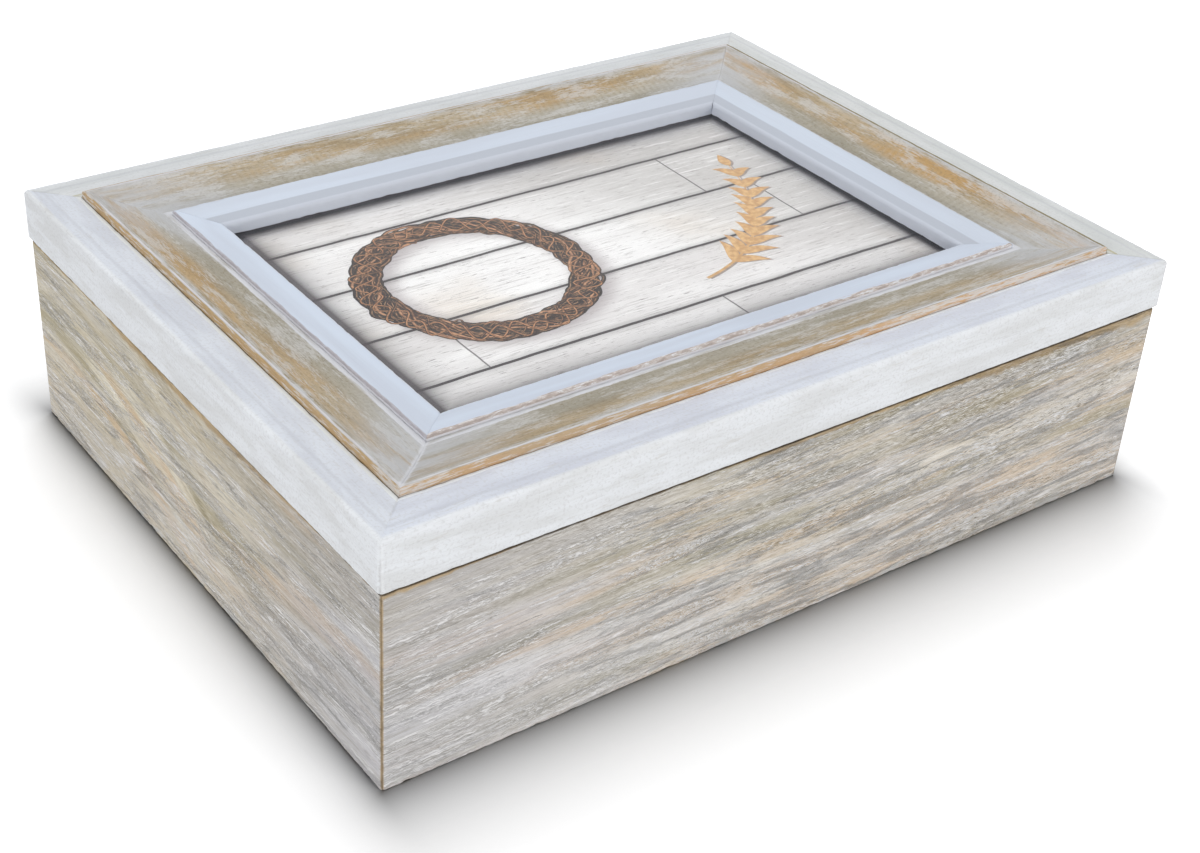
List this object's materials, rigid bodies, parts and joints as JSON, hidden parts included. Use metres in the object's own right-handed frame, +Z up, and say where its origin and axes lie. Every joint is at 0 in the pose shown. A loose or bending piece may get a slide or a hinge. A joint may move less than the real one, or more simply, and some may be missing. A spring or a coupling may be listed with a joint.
{
  "type": "photo storage box",
  "caption": "Mitred wooden keepsake box with a hinged lid that is a picture frame: glass window, moulded rails and a removable back held by turn buttons.",
  "frame": {"origin": "centre of the box's footprint on the surface it stands on; the hinge barrels stand 2 mm proud behind, so the bounding box's centre is 1 mm further back", "axes": "+X along the long side, to the right seen from the front; +Y from the front towards the hinges at the back; +Z up"},
  "size_m": [0.21, 0.162, 0.0616],
  "materials": {
    "washed_board": "matte",
    "white_rail": "satin",
    "brushed_cove": "matte",
    "white_slip": "satin",
    "thin_plywood": "matte",
    "hinge_brass": "satin",
    "zinc_plate": "satin",
    "nail_steel": "satin",
    "window_glass": "gloss",
    "printed_card": "satin",
    "brown_card": "matte",
    "hardboard": "matte"
  },
  "bodies": {
    "box": {"front_board": "washed_board", "back_board": "washed_board", "left_board": "washed_board", "right_board": "washed_board", "bottom_panel": "thin_plywood", "hinge_leaf_box_left": "hinge_brass", "hinge_leaf_box_right": "hinge_brass", "hinge_pin_left": "hinge_brass", "hinge_pin_right": "hinge_brass", "box_hinge_screws": "hinge_brass"},
    "lid": {"front_rail": "white_rail", "back_rail": "white_rail", "left_rail": "white_rail", "right_rail": "white_rail", "front_cove": "brushed_cove", "back_cove": "brushed_cove", "left_cove": "brushed_cove", "right_cove": "brushed_cove", "front_slip": "white_slip", "back_slip": "white_slip", "left_slip": "white_slip", "right_slip": "white_slip", "mitre_nails": "nail_steel", "glass_pane": "window_glass", "insert_card": "printed_card", "filler_card": "brown_card", "backing_board": "hardboard", "hinge_leaf_lid_left": "hinge_brass", "hinge_leaf_lid_right": "hinge_brass", "lid_hinge_screws": "hinge_brass", "turn_button_screws": "zinc_plate"},
    "button_front": {"turn_button_front": "zinc_plate"},
    "button_back": {"turn_button_back": "zinc_plate"},
    "button_left": {"turn_button_left": "zinc_plate"},
    "button_right": {"turn_button_right": "zinc_plate"}
  },
  "joints": [
    {"name": "lid_hinge", "type": "hinge", "parent": "box", "child": "lid", "pos_m": [0, 0.0798, 0.04775], "axis": [-1, 0, 0], "range_deg": [0, 104]},
    {"name": "button_front_turn", "type": "hinge", "parent": "lid", "child": "button_front", "pos_m": [0, -0.0534, 0.0473], "axis": [0, 0, 1], "continuous": true},
    {"name": "button_back_turn", "type": "hinge", "parent": "lid", "child": "button_back", "pos_m": [0, 0.0534, 0.0473], "axis": [0, 0, 1], "continuous": true},
    {"name": "button_left_turn", "type": "hinge", "parent": "lid", "child": "button_left", "pos_m": [-0.0784, 0, 0.0473], "axis": [0, 0, 1], "continuous": true},
    {"name": "button_right_turn", "type": "hinge", "parent": "lid", "child": "button_right", "pos_m": [0.0784, 0, 0.0473], "axis": [0, 0, 1], "continuous": true}
  ]
}
